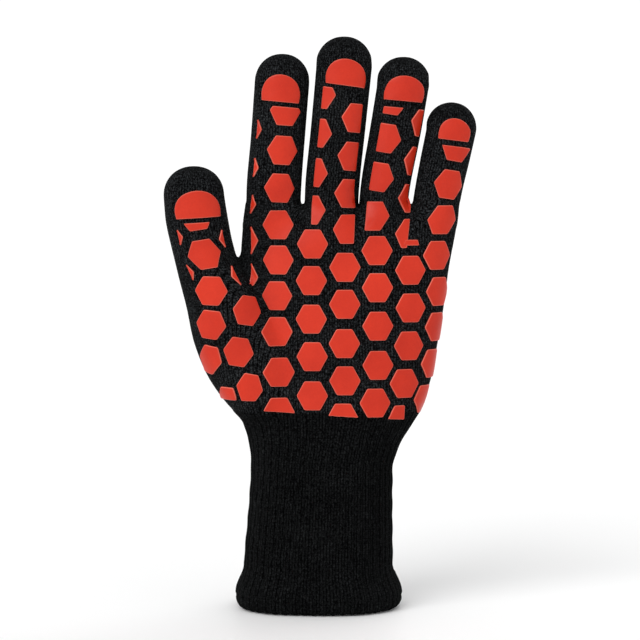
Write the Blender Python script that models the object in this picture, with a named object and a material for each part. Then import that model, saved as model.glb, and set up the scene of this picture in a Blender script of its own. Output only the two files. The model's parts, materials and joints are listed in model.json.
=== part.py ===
"""Heat resistant barbecue glove, left hand, long knitted cuff.

The glove stands on its hem with the fingers up (+Z), the palm faces -Y and the thumb is at -X.
The origin is on the floor under the middle of the glove.

A knitted shell lies over a cotton liner, and silicone pads are printed on the palm side.
Shell and liner are split at the folds of the hand, so that every stretch between two folds is
a stiff tube that turns about its own fold. All folds run along X. Each tube is cut back in a
wedge in front of its fold, which leaves room for the bend.
"""

from collections import namedtuple
from math import cos, pi, radians, sin, sqrt, tan

import bmesh
import bpy
from mathutils import Matrix, Vector

MM = 0.001

# ---------------------------------------------------------------- driving dimensions, millimetres
KNIT_WALL = 2.0            # outer knitted shell
LINER_WALL = 1.5           # cotton liner
CLEARANCE = 0.3            # between touching pieces
FOLD_GAP = 0.5             # half the slit behind each fold
FOLD_FORWARD = 6.0         # a finger's fold lies this far in front of its middle
FOLD_SPARE_DEG = 1.5       # extra wedge on each side of a fold
REACH = 60.0               # cutters run this far past the glove
TUBE_SPARE = 0.5           # and this far in front of a finger's tube
TOP_OF_CUTTERS = 400.0
HALF_WIDTH_OF_CUTTERS = 120.0
SAME_PLACE = 0.01          # corners closer than this are one

PAD_THICKNESS = 1.2        # silicone print
PAD_ACROSS_FLATS = 16.3
CELL_RADIUS = 12.35        # hexagonal cell that one pad and its margin take up
GRID_X = 13.4              # middle column of the print
GRID_Z = 197.3             # highest pad of that column
GRID_TILT = -0.1           # rows climb towards the thumb
GRID_ARCH = 0.0008         # and curve up at both sides

HEM_HEIGHT = 16.0
LINER_HEM = 1.0            # the liner ends this high above the floor

# A level cut through the glove: its height, left and right edge, depth and middle in Y.
Section = namedtuple("Section", "z left right depth middle")

CUFF_AND_PALM = (
    Section(0.0, -43.6, 42.0, 64.0, 0.0),
    Section(24.0, -44.0, 42.0, 64.0, 0.0),
    Section(50.0, -41.8, 41.8, 62.0, 0.0),
    Section(84.0, -39.8, 42.4, 57.0, 0.0),
    Section(98.0, -41.4, 48.0, 53.0, 0.0),
    Section(112.0, -44.0, 56.2, 49.0, 0.0),
    Section(128.0, -45.5, 62.4, 46.0, 0.0),
    Section(160.0, -46.5, 68.6, 42.0, 0.0),
    Section(197.0, -45.8, 74.0, 38.0, 0.0),
    Section(224.0, -43.6, 78.6, 33.0, 0.0),
    Section(233.0, -42.6, 79.2, 26.0, 0.0),
)
HEM = (
    Section(0.0, -45.6, 44.2, 66.6, 0.0),
    Section(4.0, -48.3, 46.9, 71.4, 0.0),
    Section(9.0, -49.0, 47.6, 72.6, 0.0),
    Section(13.5, -47.6, 46.0, 70.0, 0.0),
    Section(HEM_HEIGHT, -45.4, 43.4, 66.4, 0.0),
)
THUMB = (
    Section(100.0, -36.0, -10.0, 36.0, -1.0),
    Section(117.0, -52.0, -6.0, 43.0, -1.5),
    Section(128.0, -60.6, -8.0, 43.0, -2.5),
    Section(151.0, -71.0, -16.0, 42.0, -4.0),
    Section(174.0, -76.0, -28.0, 39.0, -5.0),
    Section(197.0, -82.0, -45.2, 34.0, -6.0),
    Section(209.0, -84.9, -49.4, 32.0, -6.0),
    Section(220.0, -87.4, -51.8, 31.0, -6.0),
    Section(236.5, -89.0, -54.6, 30.0, -6.0),
)
THUMB_TIP = 253.8

# A finger: centre line and width at its root, half way and where the round tip starts.
Finger = namedtuple("Finger", "name root_x middle_x dome_x root_width width depth tip folds")
ROOT_Z = 207.0             # hidden in the palm
SPREAD_Z = 240.0           # where the free finger starts
FINGERS = (
    Finger("index", -27.0, -26.2, -21.6, 32.0, 31.4, 27.0, 317.4, (243.0, 264.5, 288.0)),
    Finger("middle", 5.6, 6.9, 13.6, 31.4, 32.6, 28.0, 327.2, (244.0, 269.0, 296.0)),
    Finger("ring", 33.6, 37.2, 47.4, 28.6, 31.4, 27.0, 315.7, (243.0, 264.5, 287.5)),
    Finger("little", 61.4, 67.8, 74.6, 27.4, 29.0, 25.0, 289.9, (240.5, 254.0, 266.0)),
)
THUMB_FOLDS = (200.0, 217.5)
WRIST_FOLD = 92.0
DOME_SHARE = 0.54          # height of a finger's round tip, as a share of its width
DOME_DEGREES = (32.0, 58.0, 78.0)      # latitudes of the level cuts through a round tip

# How far each fold opens, in degrees. The end fold follows the middle one at half its angle.
WRIST_RANGE = (-30.0, 40.0)
FINGER_RANGES = (65.0, 70.0, 35.0)
THUMB_RANGES = (45.0, 60.0)
SEGMENTS = ("base", "mid", "tip")

# Fingertip pads are half-moons: a straight lower edge under an arch.
TIP_PAD_ABOVE_FOLD = 2.0
TIP_PAD_BELOW_TIP = 11.0
TIP_PAD_MARGIN = 4.5       # knit left free on each side of a finger's pad
TIP_PAD_SHOULDER = 0.35    # where the arch starts, as a share of the pad's height
TIP_PAD_FOOT = 0.9         # straight edge, as a share of the pad's width
ARCH_STEPS = 8
THUMB_PAD_WIDTH = 26.0
THUMB_PAD_LOW = 224.0
THUMB_PAD_TOP = 239.8

# Columns of whole hexagons on the palm: letter, column of the grid, first row and last row.
PALM_PADS = (("a", -2, 0, 3), ("b", -1, -1, 3), ("c", 0, 0, 3), ("d", 1, -1, 3), ("e", 2, 0, 3))

SIDES_BODY = 24
SIDES_FINGER = 14
ROUNDNESS_BODY = 2.4       # superellipse power of the palm and cuff
ROUNDNESS_FINGER = 2.2

BODY_LAYER = (0.0, -KNIT_WALL)
LINER_LAYER = (-KNIT_WALL - CLEARANCE, -KNIT_WALL - CLEARANCE - LINER_WALL)
PAD_LAYER = (CLEARANCE + PAD_THICKNESS, CLEARANCE)

# ---------------------------------------------------------------- scene and materials


def clear_scene():
    for obj in list(bpy.data.objects):
        bpy.data.objects.remove(obj, do_unlink=True)
    for collection in list(bpy.data.collections):
        bpy.data.collections.remove(collection)


def new_collection(name):
    collection = bpy.data.collections.new(name)
    bpy.context.scene.collection.children.link(collection)
    return collection


def material(name, colour, roughness):
    found = bpy.data.materials.get(name)
    if found:
        return found
    made = bpy.data.materials.new(name)
    made.use_nodes = True
    shader = made.node_tree.nodes["Principled BSDF"]
    shader.inputs["Base Color"].default_value = (*colour, 1.0)
    shader.inputs["Roughness"].default_value = roughness
    shader.inputs["Metallic"].default_value = 0.0
    made.diffuse_color = (*colour, 1.0)
    return made


def knit_material():
    return material("black_knit", (0.016, 0.016, 0.018), 0.9)


def liner_material():
    return material("cotton_liner", (0.55, 0.53, 0.48), 0.95)


def pad_material():
    return material("red_silicone", (0.72, 0.06, 0.03), 0.45)


# ---------------------------------------------------------------- building blocks


def add_mesh_object(name, mesh, collection):
    obj = bpy.data.objects.new(name, mesh)
    collection.objects.link(obj)
    return obj


def hide_as_cutter(obj):
    obj.hide_render = True
    obj.display_type = "WIRE"
    return obj


def power(value, exponent):
    """A signed power, for superellipses."""
    return (abs(value) ** exponent) * (1 if value >= 0 else -1)


def ring(section, grow, sides, roundness):
    """Points of one level cut, moved out by grow."""
    half_width = (section.right - section.left) / 2 + grow
    half_depth = section.depth / 2 + grow
    centre_x = (section.right + section.left) / 2
    points = []
    for step in range(sides):
        angle = 2 * pi * (step + 0.5) / sides
        x = centre_x + half_width * power(cos(angle), 2 / roundness)
        y = section.middle + half_depth * power(sin(angle), 2 / roundness)
        points.append(Vector((x, y, section.z)) * MM)
    return points


def dome(section, tip, grow):
    """Level cuts of a round tip that rises from a section up to the height tip."""
    height = tip - section.z + grow
    half_width = (section.right - section.left) / 2
    centre_x = (section.right + section.left) / 2
    cuts = []
    for degrees in DOME_DEGREES:
        share = cos(radians(degrees))
        reach = (half_width + grow) * share - grow
        deep = (section.depth / 2 + grow) * share - grow
        z = section.z + height * sin(radians(degrees))
        cuts.append(Section(z, centre_x - reach, centre_x + reach, 2 * deep, section.middle))
    return cuts


def loft(name, sections, grow, sides, roundness, collection):
    """A closed solid through level cuts of different shapes."""
    bm = bmesh.new()
    rings = []
    for section in sections:
        rings.append([bm.verts.new(point) for point in ring(section, grow, sides, roundness)])
    for lower, upper in zip(rings, rings[1:]):
        for step in range(sides):
            after = (step + 1) % sides
            bm.faces.new((lower[step], lower[after], upper[after]))
            bm.faces.new((lower[step], upper[after], upper[step]))
    bm.faces.new(list(reversed(rings[0])))
    bm.faces.new(rings[-1])
    mesh = bpy.data.meshes.new(name)
    bm.to_mesh(mesh)
    bm.free()
    return add_mesh_object(name, mesh, collection)


def extruded_outline(name, outline, half_width, collection):
    """A flat outline in Y and Z, given thickness along X, as a closed mesh."""
    curve = bpy.data.curves.new(name, "CURVE")
    curve.dimensions = "2D"
    curve.fill_mode = "BOTH"
    curve.extrude = half_width * MM
    spline = curve.splines.new("POLY")
    spline.points.add(len(outline) - 1)
    for point, (across, up) in zip(spline.points, outline):
        point.co = (across * MM, up * MM, 0.0, 1.0)
    spline.use_cyclic_u = True
    guide = bpy.data.objects.new(name + "_outline", curve)
    collection.objects.link(guide)
    bpy.context.view_layer.update()
    evaluated = guide.evaluated_get(bpy.context.evaluated_depsgraph_get())
    mesh = bpy.data.meshes.new_from_object(evaluated)
    bpy.data.objects.remove(guide, do_unlink=True)
    bm = bmesh.new()
    bm.from_mesh(mesh)
    bmesh.ops.remove_doubles(bm, verts=bm.verts, dist=SAME_PLACE * MM)
    bmesh.ops.recalc_face_normals(bm, faces=bm.faces)
    # The outline's own axes become Y and Z, and its thickness runs along X.
    turn = Matrix(((0, 0, 1, 0), (1, 0, 0, 0), (0, 1, 0, 0), (0, 0, 0, 1)))
    bmesh.ops.transform(bm, matrix=turn, verts=bm.verts)
    bm.to_mesh(mesh)
    bm.free()
    return hide_as_cutter(add_mesh_object(name, mesh, collection))


def combine(obj, other, operation):
    modifier = obj.modifiers.new(operation.lower(), "BOOLEAN")
    modifier.operation = operation
    modifier.solver = "EXACT"
    modifier.object = other
    return obj


# ---------------------------------------------------------------- folds


def wedge_edge(fold, forward, front_deg, back_deg, side, reach=REACH):
    """Edge of a tube at a fold: three points from the back (+Y) over the fold to the front.

    side is 1 for the tube above the fold and -1 for the tube below it.
    """
    start = fold + side * FOLD_GAP
    front_rise = side * reach * tan(radians(front_deg / 2 + FOLD_SPARE_DEG))
    back_rise = side * REACH * tan(radians(back_deg / 2 + FOLD_SPARE_DEG)) if back_deg else 0.0
    return [
        (forward + REACH, start + back_rise),
        (forward, start),
        (forward - reach, start + front_rise),
    ]


def between_folds(name, lower, upper, collection):
    """A prism that keeps what lies between two fold edges, or past one of them."""
    back, front = (lower or upper)[0][0], (lower or upper)[-1][0]
    low = lower if lower else [(back, -REACH), (front, -REACH)]
    high = upper if upper else [(back, TOP_OF_CUTTERS), (front, TOP_OF_CUTTERS)]
    return extruded_outline(name, low + list(reversed(high)), HALF_WIDTH_OF_CUTTERS, collection)


# ---------------------------------------------------------------- the hand's solids


def finger_sections(finger):
    """Level cuts of a finger from inside the palm to the start of its round tip."""
    dome_z = finger.tip - finger.width * DOME_SHARE
    half_root = finger.root_width / 2
    half = finger.width / 2
    return [
        Section(ROOT_Z, finger.root_x - half_root, finger.root_x + half_root, finger.depth, 0.0),
        Section(SPREAD_Z, finger.middle_x - half_root, finger.middle_x + half_root,
                finger.depth, 0.0),
        Section(dome_z, finger.dome_x - half, finger.dome_x + half, finger.depth, 0.0),
    ]


def finger_solid(finger, grow, collection):
    cuts = finger_sections(finger)
    cuts += dome(cuts[-1], finger.tip, grow)
    name = f"{finger.name}_form_{round(grow * 10)}"
    return loft(name, cuts, grow, SIDES_FINGER, ROUNDNESS_FINGER, collection)


def thumb_solid(grow, collection):
    cuts = list(THUMB)
    cuts += dome(cuts[-1], THUMB_TIP, grow)
    name = f"thumb_form_{round(grow * 10)}"
    return loft(name, cuts, grow, SIDES_FINGER, ROUNDNESS_FINGER, collection)


def body_solid(grow, collection, bottom=0.0):
    """Cuff and palm as one solid, moved out by grow everywhere but at the bottom."""
    cuts = list(CUFF_AND_PALM)
    cuts[0] = cuts[0]._replace(z=bottom)
    cuts[-1] = cuts[-1]._replace(z=cuts[-1].z + grow)
    name = f"body_form_{round(grow * 10)}"
    return loft(name, cuts, grow, SIDES_BODY, ROUNDNESS_BODY, collection)


def tube_piece(name, outer, inner, region, look, parts):
    """A copy of the outer form, kept inside a region and hollowed by the inner form."""
    obj = add_mesh_object(name, outer.data.copy(), parts)
    obj.data.materials.append(look)
    combine(obj, region, "INTERSECT")
    combine(obj, inner, "DIFFERENCE")
    return obj


# ---------------------------------------------------------------- print


def print_place(column, row):
    """Centre of one pad of the print. Odd columns sit half a pad lower."""
    step_x = 1.5 * CELL_RADIUS
    step_z = sqrt(3) * CELL_RADIUS
    across = step_x * column
    lower = step_z / 2 if column % 2 else 0.0
    x = GRID_X + across
    z = GRID_Z - step_z * row - lower + GRID_TILT * across + GRID_ARCH * across * across
    return x, z


def hexagon_cutter(name, x, z, cutters):
    """A hexagonal bar along Y with points to the left and right, in front of the middle."""
    bm = bmesh.new()
    radius = PAD_ACROSS_FLATS / sqrt(3) * MM
    bmesh.ops.create_cone(bm, cap_ends=True, segments=6, radius1=radius, radius2=radius,
                          depth=REACH * MM)
    turn = Matrix.Rotation(pi / 2, 4, "X") @ Matrix.Rotation(pi / 2, 4, "Z")
    shift = Matrix.Translation(Vector((x, -REACH / 2, z)) * MM)
    bmesh.ops.transform(bm, matrix=shift @ turn, verts=bm.verts)
    mesh = bpy.data.meshes.new(name)
    bm.to_mesh(mesh)
    bm.free()
    return add_mesh_object(name, mesh, cutters)


def half_moon_cutter(name, centre_x, width, low, top, cutters):
    """A bar along Y whose outline is a fingertip pad: a straight lower edge under an arch."""
    bm = bmesh.new()
    outline = []
    half = width / 2
    shoulder = low + (top - low) * TIP_PAD_SHOULDER
    outline.append((centre_x - half * TIP_PAD_FOOT, low))
    outline.append((centre_x + half * TIP_PAD_FOOT, low))
    for step in range(ARCH_STEPS + 1):
        angle = pi * step / ARCH_STEPS
        outline.append((centre_x + half * cos(angle), shoulder + (top - shoulder) * sin(angle)))
    front = [bm.verts.new(Vector((x, -REACH, z)) * MM) for x, z in outline]
    face = bm.faces.new(front)
    extruded = bmesh.ops.extrude_face_region(bm, geom=[face])
    moved = [item for item in extruded["geom"] if isinstance(item, bmesh.types.BMVert)]
    bmesh.ops.translate(bm, vec=Vector((0, REACH * MM, 0)), verts=moved)
    bmesh.ops.recalc_face_normals(bm, faces=bm.faces)
    mesh = bpy.data.meshes.new(name)
    bm.to_mesh(mesh)
    bm.free()
    return add_mesh_object(name, mesh, cutters)


def pad_piece(name, bar, over, under, parts):
    """The stretch of a bar that lies between the shell and the print's outer face."""
    obj = add_mesh_object(name, bar.data, parts)
    obj.data.materials.append(pad_material())
    combine(obj, over, "INTERSECT")
    combine(obj, under, "DIFFERENCE")
    return obj


# ---------------------------------------------------------------- assembly


def pivot(name, fold, forward, parent, parts):
    """An empty on a fold, which carries everything above it."""
    empty = bpy.data.objects.new(name + "_fold", None)
    parts.objects.link(empty)
    empty.empty_display_size = 0.01
    place = Vector((0.0, forward, fold)) * MM
    empty.location = place
    if parent:
        empty.parent = parent
        empty.location = place - parent.matrix_world.translation
    bpy.context.view_layer.update()
    return empty


def carry(empty, *objects):
    for obj in objects:
        obj.parent = empty
        obj.matrix_parent_inverse = empty.matrix_world.inverted()


def build_cuff(forms, parts, cutters):
    edge = wedge_edge(WRIST_FOLD, 0.0, WRIST_RANGE[1], -WRIST_RANGE[0], -1)
    region = between_folds("below_wrist", None, edge, cutters)
    tube_piece("cuff_knit", forms["body"], forms["body_hollow"], region, knit_material(), parts)
    tube_piece("cuff_liner", forms["liner"], forms["liner_hollow"], region, liner_material(),
               parts)
    hem = loft("cuff_hem", HEM, 0.0, SIDES_BODY, ROUNDNESS_BODY, parts)
    hem.data.materials.append(knit_material())
    combine(hem, forms["hem_seat"], "DIFFERENCE")


def build_palm(forms, parts, cutters):
    edge = wedge_edge(WRIST_FOLD, 0.0, WRIST_RANGE[1], -WRIST_RANGE[0], 1)
    region = between_folds("above_wrist", edge, None, cutters)
    pieces = []
    for name, layer, look in (("palm_knit", "", knit_material()),
                              ("palm_liner", "liner_", liner_material())):
        body = forms["liner"] if layer else forms["body"]
        hollow = forms["liner_hollow"] if layer else forms["body_hollow"]
        obj = add_mesh_object(name, body.data.copy(), parts)
        obj.data.materials.append(look)
        combine(obj, region, "INTERSECT")
        for stub in forms["stubs"]:
            combine(obj, forms[layer + stub], "UNION")
        combine(obj, hollow, "DIFFERENCE")
        for stub in forms["stubs"]:
            combine(obj, forms[layer + stub + "_hollow"], "DIFFERENCE")
        pieces.append(obj)
    return pieces


def build_palm_pads(forms, parts, cutters):
    pads = []
    for letter, column, first, last in PALM_PADS:
        for number, row in enumerate(range(first, last + 1), start=1):
            x, z = print_place(column, row)
            name = f"palm_pad_{letter}{number}"
            bar = hexagon_cutter(name + "_bar", x, z, cutters)
            hide_as_cutter(bar)
            pads.append(pad_piece(name, bar, forms["print_top"], forms["print_seat"], parts))
    return pads


# Everything that one digit is built from. solids are its shell's outside and inside, its liner's
# outside and inside, and the print's outer face and seat. pad is the middle, width, low and top.
Digit = namedtuple("Digit", "name solids folds ranges middle depth pad")


def add_stubs(digit, forms, cutters):
    """The root of a digit below its first fold, for the palm's shell and liner."""
    outer, hollow, liner, liner_hollow = digit.solids[:4]
    forward = digit.middle - FOLD_FORWARD
    edge = wedge_edge(digit.folds[0], forward, digit.ranges[0], 0.0, -1)
    region = between_folds(digit.name + "_below_fold", None, edge, cutters)
    for prefix, solid in (("", outer), ("liner_", liner)):
        stub = add_mesh_object(prefix + digit.name + "_stub", solid.data.copy(), cutters)
        hide_as_cutter(stub)
        combine(stub, region, "INTERSECT")
        forms[prefix + digit.name] = stub
    forms[digit.name + "_hollow"] = hollow
    forms["liner_" + digit.name + "_hollow"] = liner_hollow
    forms["stubs"].append(digit.name)


def build_digit(digit, palm_pivot, forms, parts, cutters):
    """A finger or thumb: one shell and one liner tube above each fold, and the tip's pad."""
    outer, hollow, liner, liner_hollow, over, under = digit.solids
    folds = digit.folds
    forward = digit.middle - FOLD_FORWARD
    reach = digit.depth / 2 - FOLD_FORWARD + TUBE_SPARE
    segments = SEGMENTS if len(folds) == len(SEGMENTS) else (SEGMENTS[0], SEGMENTS[-1])
    add_stubs(digit, forms, cutters)
    parent = palm_pivot
    for index, segment in enumerate(segments):
        lower = wedge_edge(folds[index], forward, digit.ranges[index], 0.0, 1, reach)
        upper = None
        if index + 1 < len(folds):
            upper = wedge_edge(folds[index + 1], forward, digit.ranges[index + 1], 0.0, -1, reach)
        label = f"{digit.name}_{segment}"
        region = between_folds(label + "_region", lower, upper, cutters)
        shell = tube_piece(label + "_knit", outer, hollow, region, knit_material(), parts)
        lining = tube_piece(label + "_liner", liner, liner_hollow, region, liner_material(), parts)
        parent = pivot(label, folds[index], forward, parent, parts)
        carry(parent, shell, lining)
    bar = half_moon_cutter(digit.name + "_tip_bar", *digit.pad, cutters)
    hide_as_cutter(bar)
    pad = pad_piece(digit.name + "_tip_pad", bar, over, under, parts)
    carry(parent, pad)


def main():
    clear_scene()
    parts = new_collection("heat_resistant_glove")
    cutters = new_collection("cutters")

    def form(make, *args, **options):
        return hide_as_cutter(make(*args, cutters, **options))

    liner_out, liner_in = LINER_LAYER
    over, under = PAD_LAYER
    forms = {
        "body": form(body_solid, 0.0),
        "body_hollow": form(body_solid, -KNIT_WALL, bottom=-REACH),
        "liner": form(body_solid, liner_out, bottom=LINER_HEM),
        "liner_hollow": form(body_solid, liner_in, bottom=-REACH),
        "hem_seat": form(body_solid, CLEARANCE, bottom=-REACH),
        "print_top": form(body_solid, over),
        "print_seat": form(body_solid, under),
        "stubs": [],
    }
    palm_pivot = pivot("wrist", WRIST_FOLD, 0.0, None, parts)

    layers = (*BODY_LAYER, *LINER_LAYER, *PAD_LAYER)
    digits = []
    for finger in FINGERS:
        solids = [form(finger_solid, finger, grow) for grow in layers]
        pad = (finger.dome_x, finger.width - 2 * TIP_PAD_MARGIN,
               finger.folds[-1] + TIP_PAD_ABOVE_FOLD, finger.tip - TIP_PAD_BELOW_TIP)
        digits.append(Digit(finger.name, solids, finger.folds, FINGER_RANGES, 0.0,
                            finger.depth, pad))

    solids = [form(thumb_solid, grow) for grow in layers]
    combine(forms["print_top"], solids[-2], "UNION")
    combine(forms["print_seat"], solids[-1], "UNION")
    end = THUMB[-1]
    pad = ((end.left + end.right) / 2, THUMB_PAD_WIDTH, THUMB_PAD_LOW, THUMB_PAD_TOP)
    digits.append(Digit("thumb", solids, THUMB_FOLDS, THUMB_RANGES, end.middle, end.depth, pad))

    for digit in digits:
        build_digit(digit, palm_pivot, forms, parts, cutters)
    build_cuff(forms, parts, cutters)
    carry(palm_pivot, *build_palm(forms, parts, cutters))
    carry(palm_pivot, *build_palm_pads(forms, parts, cutters))


main()
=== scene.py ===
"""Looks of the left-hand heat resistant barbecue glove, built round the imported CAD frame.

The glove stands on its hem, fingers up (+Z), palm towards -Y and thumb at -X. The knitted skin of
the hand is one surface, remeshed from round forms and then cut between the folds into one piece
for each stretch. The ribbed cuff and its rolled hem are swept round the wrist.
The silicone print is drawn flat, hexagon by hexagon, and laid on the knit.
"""

import json
from math import atan2, cos, pi, radians, sin

import bmesh
import bpy
import numpy as np
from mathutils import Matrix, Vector
from mathutils.bvhtree import BVHTree


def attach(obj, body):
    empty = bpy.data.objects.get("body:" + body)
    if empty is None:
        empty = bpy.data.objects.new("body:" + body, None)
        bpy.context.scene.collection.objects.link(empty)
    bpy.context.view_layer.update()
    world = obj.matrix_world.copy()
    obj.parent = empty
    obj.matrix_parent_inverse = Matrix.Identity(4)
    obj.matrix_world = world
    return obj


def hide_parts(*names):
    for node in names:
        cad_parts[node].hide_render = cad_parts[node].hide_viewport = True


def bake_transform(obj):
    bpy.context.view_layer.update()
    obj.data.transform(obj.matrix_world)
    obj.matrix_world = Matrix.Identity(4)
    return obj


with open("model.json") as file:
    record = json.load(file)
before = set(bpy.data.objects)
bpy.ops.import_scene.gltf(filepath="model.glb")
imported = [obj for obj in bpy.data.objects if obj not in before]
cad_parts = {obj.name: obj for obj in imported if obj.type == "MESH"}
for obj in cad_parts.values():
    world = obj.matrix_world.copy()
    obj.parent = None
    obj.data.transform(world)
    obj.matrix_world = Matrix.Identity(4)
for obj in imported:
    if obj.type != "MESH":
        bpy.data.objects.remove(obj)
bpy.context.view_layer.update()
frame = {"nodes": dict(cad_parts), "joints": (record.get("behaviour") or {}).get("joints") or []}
MM = 0.001

# ---- folds, read from the frame

JOINTS = {joint["name"]: joint for joint in frame["joints"]}


def fold_height(joint):
    """Height of a joint's axis in millimetres."""
    return JOINTS[joint]["pos_m"][2] / MM


FINGER_NAMES = ("index", "middle", "ring", "little")
FOLDS = {name: [fold_height(f"{name}_{part}_bend") for part in ("base", "mid", "tip")]
         for name in FINGER_NAMES}
FOLDS["thumb"] = [fold_height("thumb_base_bend"), fold_height("thumb_tip_bend")]
DIGITS = FINGER_NAMES + ("thumb",)

# ---- forms, in millimetres


def curve_through(z, heights, values):
    """A smooth curve through the values that are given at some heights."""
    z = np.clip(z, heights[0], heights[-1])
    heights = np.asarray(heights, float)
    values = np.asarray(values, float)
    slopes = np.gradient(values, heights)
    at = np.clip(np.searchsorted(heights, z) - 1, 0, len(heights) - 2)
    span = heights[at + 1] - heights[at]
    t = (z - heights[at]) / span
    rise = values[at + 1] - values[at]
    curve = values[at] + span * slopes[at] * t
    square = 3 * rise - span * (2 * slopes[at] + slopes[at + 1])
    cube = span * (slopes[at] + slopes[at + 1]) - 2 * rise
    return curve + square * t ** 2 + cube * t ** 3


class Form:
    """A round form given by level cuts: height, left edge, right edge, depth and middle in Y."""

    def __init__(self, cuts, roundness, tip=None, lean=0.0):
        self.z, self.left, self.right, self.depth, self.middle = np.array(cuts, float).T
        self.roundness = roundness
        self.tip = tip
        self.lean = lean
        self.levels = None         # filled by measure

    def at(self, z):
        """Centre in X, centre in Y, half width and half depth at each height."""
        z = np.asarray(z, float)
        lines = (self.left, self.right, self.depth, self.middle)
        left, right, depth, middle = (curve_through(z, self.z, line) for line in lines)
        shrink = np.ones_like(z)
        if self.tip:
            rise = np.clip((z - self.z[-1]) / (self.tip - self.z[-1]), 0, 1)
            shrink = np.maximum(1 - rise ** TIP_ROUNDNESS, 0) ** (1 / TIP_ROUNDNESS)
        half_width = (right - left) / 2 * shrink
        return (left + right) / 2, middle, half_width, depth / 2 * shrink

    def points(self, z, angle, grow=0.0):
        """Points on the form. Angle 0 is +X, and -90 degrees is the front, -Y."""
        centre, middle, half_width, half_depth = self.at(z)
        x = centre + (half_width + grow) * signed_power(np.cos(angle), 2 / self.roundness)
        y = middle + (half_depth + grow) * signed_power(np.sin(angle), 2 / self.roundness)
        return np.stack([x, y, np.broadcast_to(z, x.shape)], axis=-1)

    def measure(self):
        """Fills the table of lengths along the front, from its middle, for even heights."""
        top = (self.tip or self.z[-1]) - 1.0
        self.levels = np.arange(self.z[0], top, 1.0)
        self.angles = np.linspace(-1.15 * pi, 0.15 * pi, 260)
        z, angle = np.meshgrid(self.levels, self.angles, indexing="ij")
        self.lengths = arc_from(self, angle, z, -pi / 2)

    def lengths_at(self, z):
        """The table's height nearest to z, and there the length up to each angle."""
        if self.levels is None:
            self.measure()
        place = float(np.clip(z - self.levels[0], 0, len(self.levels) - 1.001))
        row = int(place)
        share = place - row
        lengths = self.lengths[row] * (1 - share) + self.lengths[row + 1] * share
        return self.levels[0] + place, lengths

    def angle_at(self, length, z):
        """Angle on the front at a length from its middle."""
        _, lengths = self.lengths_at(z)
        return float(np.interp(length, lengths, self.angles))

    def length_at(self, x, z):
        """Length along the front from its middle to where it is seen at x."""
        level, lengths = self.lengths_at(z)
        front = (self.angles > -pi) & (self.angles < 0)
        seen = self.points(np.full(front.sum(), level), self.angles[front])[:, 0]
        return float(np.interp(x, seen, lengths[front]))

    def angle_of(self, x, y, z):
        """Angle of points that lie on the form or near it."""
        centre, middle, half_width, half_depth = self.at(z)
        across = signed_power((x - centre) / np.maximum(half_width, 0.1), self.roundness / 2)
        deep = signed_power((y - middle) / np.maximum(half_depth, 0.1), self.roundness / 2)
        return np.arctan2(deep, across)


def signed_power(value, exponent):
    """A power that keeps the sign, for superellipses."""
    return np.sign(value) * np.abs(value) ** exponent


def smooth_step(value, start, end):
    """0 below start, 1 above end, and a soft ramp between."""
    t = np.clip((value - start) / (end - start), 0, 1)
    return t * t * (3 - 2 * t)


TIP_ROUNDNESS = 2.1
FINGER_ROUNDNESS = 2.15
PALM_ROUNDNESS = 2.4
CROTCH = 233.0             # bottom of the gaps between the fingers
THUMB_CROTCH = 194.5

PALM = Form((
    (60.0, -41.6, 41.8, 62.0, 0.0),
    (84.0, -39.8, 42.4, 57.0, 0.0),
    (98.0, -41.6, 48.0, 53.0, 0.0),
    (112.0, -44.0, 56.4, 49.0, 0.0),
    (128.0, -45.5, 62.6, 46.0, 0.0),
    (151.0, -46.0, 67.2, 43.0, 0.0),
    (174.0, -46.0, 71.0, 40.5, 0.0),
    (197.0, -45.6, 74.0, 37.0, 0.0),
    (214.0, -44.6, 77.2, 33.0, 0.0),
    (226.0, -43.6, 79.2, 28.0, 0.0),
    (232.0, -43.0, 79.8, 21.0, 0.0),
), PALM_ROUNDNESS)

CUFF = Form((
    (-6.0, -43.6, 42.0, 64.0, 0.0),
    (12.0, -44.2, 42.2, 64.0, 0.0),
    (30.0, -43.6, 42.0, 63.6, 0.0),
    (50.0, -41.8, 41.8, 62.0, 0.0),
    (70.0, -40.3, 41.8, 59.4, 0.0),
    (84.0, -39.8, 42.4, 57.0, 0.0),
    (98.0, -41.6, 48.0, 53.0, 0.0),
    (112.0, -47.6, 56.4, 49.0, 0.0),
    (120.0, -52.0, 60.0, 47.5, 0.0),
), PALM_ROUNDNESS)

THUMB = Form((
    (98.0, -34.0, -8.0, 34.0, -1.0),
    (108.0, -44.0, -6.0, 40.0, -1.0),
    (118.0, -53.6, -6.0, 43.0, -1.5),
    (129.0, -61.6, -8.0, 43.0, -2.5),
    (151.0, -71.4, -16.0, 42.0, -4.0),
    (174.0, -76.4, -28.0, 39.0, -5.0),
    (190.0, -80.4, -39.6, 35.5, -6.0),
    (200.0, -82.8, -46.4, 33.0, -6.0),
    (210.0, -85.2, -49.6, 31.6, -6.0),
    (221.0, -87.6, -51.8, 30.6, -6.0),
    (237.0, -89.0, -54.4, 30.0, -6.0),
), FINGER_ROUNDNESS, tip=253.8, lean=-0.18)

# The palm with the thumb's mound, for laying the print and for the run of the stitches.
HAND = Form((
    (84.0, -39.8, 42.4, 57.0, 0.0),
    (104.0, -43.0, 50.0, 52.0, 0.0),
    (118.0, -53.6, 57.0, 48.0, -0.5),
    (129.0, -61.6, 63.0, 46.0, -1.0),
    (151.0, -71.4, 67.2, 44.0, -1.5),
    (174.0, -76.4, 71.0, 42.0, -1.5),
    (192.0, -80.6, 73.4, 38.0, -1.5),
    (204.0, -84.0, 75.2, 35.0, -1.0),
    (232.0, -86.0, 79.8, 28.0, 0.0),
), PALM_ROUNDNESS)


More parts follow.
